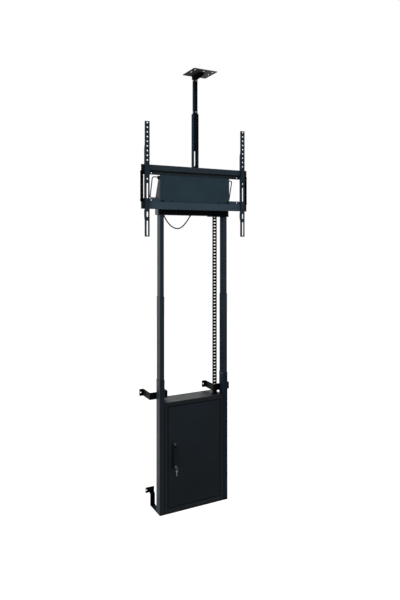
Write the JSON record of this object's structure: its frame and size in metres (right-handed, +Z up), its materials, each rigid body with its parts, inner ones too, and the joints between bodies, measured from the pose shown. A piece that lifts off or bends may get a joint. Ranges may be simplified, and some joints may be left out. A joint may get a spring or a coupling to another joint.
{
  "type": "motorised screen lift stand",
  "caption": "Wall-fastened motorised stand: telescopic columns beside a lockable cabinet lift a crossbar with screen rails, hooked arms and a camera shelf.",
  "frame": {"origin": "middle of the cabinet's bottom face, on the floor", "axes": "+X to the right seen from the front, +Y back towards the wall, +Z up along the columns"},
  "size_m": [0.671, 0.283, 2.434],
  "materials": {
    "anthracite_paint": "fine-texture satin anthracite powder coat",
    "cover_paint": "satin blue-grey powder coat",
    "cheek_paint": "satin powder coat",
    "door_paint": "fine-texture powder coat",
    "black_plastic": "moulded, fine grain",
    "cap_plastic": "moulded, matt",
    "chain_plastic": "glass-filled nylon",
    "handle_plastic": "moulded, fine grain",
    "controller_plastic": "moulded",
    "cable_sheath": "smooth sheath",
    "zinc_steel": "bright zinc plate",
    "bright_steel": "turned and oiled",
    "black_screw": "black oxide",
    "black_wire": "plastic-dipped wire",
    "nut_brass": "machined",
    "motor_paint": "grey enamel",
    "lock_chrome": "polished",
    "key_nickel": "nickel plate"
  },
  "bodies": {
    "base": {"left_outer_column": "anthracite_paint", "right_outer_column": "anthracite_paint", "left_fixed_screw": "bright_steel", "right_fixed_screw": "bright_steel", "outer_collars": "black_plastic", "upper_wall_brackets": "anthracite_paint", "lower_wall_brackets": "anthracite_paint", "bracket_screws": "zinc_steel", "cabinet_body": "anthracite_paint", "cabinet_frame": "anthracite_paint", "cabinet_back": "anthracite_paint", "hinge_pins": "bright_steel", "control_box": "controller_plastic", "chain_lower_anchor": "black_plastic", "energy_chain": "chain_plastic"},
    "left_middle": {"left_middle_tube": "anthracite_paint", "left_middle_collar": "black_plastic"},
    "right_middle": {"right_middle_tube": "anthracite_paint", "right_middle_collar": "black_plastic"},
    "left_screw": {"left_spindle": "bright_steel"},
    "right_screw": {"right_spindle": "bright_steel"},
    "carriage": {"left_inner_tube": "anthracite_paint", "right_inner_tube": "anthracite_paint", "lift_nuts": "nut_brass", "crossbar_housing": "anthracite_paint", "crossbar_end_caps": "cap_plastic", "left_gearmotor": "motor_paint", "right_gearmotor": "motor_paint", "chain_upper_anchor": "anthracite_paint", "crossbar_cable": "cable_sheath", "cable_glands": "black_plastic", "top_rail": "anthracite_paint", "bottom_rail": "anthracite_paint", "rail_end_straps": "anthracite_paint", "left_cheek": "cheek_paint", "right_cheek": "cheek_paint", "cover_panel": "cover_paint", "cover_screws": "black_screw", "bail_clips": "black_plastic", "mast_channel": "anthracite_paint", "mast_collar": "black_plastic"},
    "left_drive": {"left_drive_tube": "bright_steel"},
    "right_drive": {"right_drive_tube": "bright_steel"},
    "left_arm": {"left_screen_arm": "anthracite_paint"},
    "right_arm": {"right_screen_arm": "anthracite_paint"},
    "left_latch": {"left_arm_latch": "zinc_steel"},
    "right_latch": {"right_arm_latch": "zinc_steel"},
    "mast": {"mast_tube": "anthracite_paint", "mast_clamp_bolts": "black_screw", "mast_screws": "zinc_steel", "head_bracket": "anthracite_paint", "camera_plate": "anthracite_paint"},
    "bail": {"wire_bail": "black_wire"},
    "door": {"door_panel": "door_paint", "handle_base": "handle_plastic"},
    "hub": {"handle_hub": "zinc_steel"},
    "lever": {"handle_lever": "handle_plastic", "lock_cylinder": "lock_chrome"},
    "key": {"lock_key": "key_nickel"},
    "spare": {"spare_key": "key_nickel"}
  },
  "joints": [
    {"name": "lift", "type": "slide", "parent": "base", "child": "carriage", "axis": [0, 0, 1], "range_m": [-0.87, 0], "deforming": ["energy_chain"]},
    {"name": "left_middle_slide", "type": "slide", "parent": "base", "child": "left_middle", "axis": [0, 0, 1], "range_m": [-0.435, 0]},
    {"name": "right_middle_slide", "type": "slide", "parent": "base", "child": "right_middle", "axis": [0, 0, 1], "range_m": [-0.435, 0]},
    {"name": "left_screw_turn", "type": "hinge", "parent": "left_middle", "child": "left_screw", "pos_m": [-0.2, -0.034, 0.46], "axis": [0, 0, 1], "range_deg": [-9800, 0]},
    {"name": "right_screw_turn", "type": "hinge", "parent": "right_middle", "child": "right_screw", "pos_m": [0.2, -0.034, 0.46], "axis": [0, 0, 1], "range_deg": [-9800, 0]},
    {"name": "left_drive_turn", "type": "hinge", "parent": "carriage", "child": "left_drive", "pos_m": [-0.2, -0.034, 1.2], "axis": [0, 0, 1], "range_deg": [-9800, 0]},
    {"name": "right_drive_turn", "type": "hinge", "parent": "carriage", "child": "right_drive", "pos_m": [0.2, -0.034, 1.2], "axis": [0, 0, 1], "range_deg": [-9800, 0]},
    {"name": "door_swing", "type": "hinge", "parent": "base", "child": "door", "pos_m": [0.162, -0.054, 0.31], "axis": [0, 0, 1], "range_deg": [0, 105]},
    {"name": "handle_turn", "type": "hinge", "parent": "door", "child": "hub", "pos_m": [-0.127, -0.0585, 0.379], "axis": [0, -1, 0], "range_deg": [0, 90]},
    {"name": "lever_lift", "type": "hinge", "parent": "hub", "child": "lever", "pos_m": [-0.127, -0.0687, 0.379], "axis": [-1, 0, 0], "range_deg": [0, 30]},
    {"name": "key_turn", "type": "hinge", "parent": "lever", "child": "key", "pos_m": [-0.127, -0.0765, 0.26], "axis": [0, -1, 0], "range_deg": [0, 90]},
    {"name": "spare_key_swing", "type": "hinge", "parent": "key", "child": "spare", "pos_m": [-0.127, -0.089, 0.259], "axis": [1, 0, 0], "range_deg": [-60, 10]},
    {"name": "left_arm_slide", "type": "slide", "parent": "carriage", "child": "left_arm", "axis": [1, 0, 0], "range_m": [0, 0.2]},
    {"name": "right_arm_slide", "type": "slide", "parent": "carriage", "child": "right_arm", "axis": [-1, 0, 0], "range_m": [0, 0.2]},
    {"name": "left_latch_pull", "type": "slide", "parent": "left_arm", "child": "left_latch", "axis": [0, 0, 1], "range_m": [-0.0145, 0], "stiffness_N_per_m": 150, "springref_m": 0.01},
    {"name": "right_latch_pull", "type": "slide", "parent": "right_arm", "child": "right_latch", "axis": [0, 0, 1], "range_m": [-0.0145, 0], "stiffness_N_per_m": 150, "springref_m": 0.01},
    {"name": "mast_slide", "type": "slide", "parent": "carriage", "child": "mast", "axis": [0, 0, 1], "range_m": [-0.006, 0.11]},
    {"name": "bail_swing", "type": "hinge", "parent": "carriage", "child": "bail", "pos_m": [0, -0.0105, 1.742], "axis": [-1, 0, 0], "range_deg": [0, 70]}
  ],
  "couplings": [
    {"joint": "left_middle_slide", "follows": "lift", "ratio": 0.5},
    {"joint": "right_middle_slide", "follows": "lift", "ratio": 0.5},
    {"joint": "left_screw_turn", "follows": "lift", "rad_per_m": 196.35},
    {"joint": "left_drive_turn", "follows": "lift", "rad_per_m": 196.35},
    {"joint": "right_screw_turn", "follows": "lift", "rad_per_m": 196.35},
    {"joint": "right_drive_turn", "follows": "lift", "rad_per_m": 196.35}
  ]
}
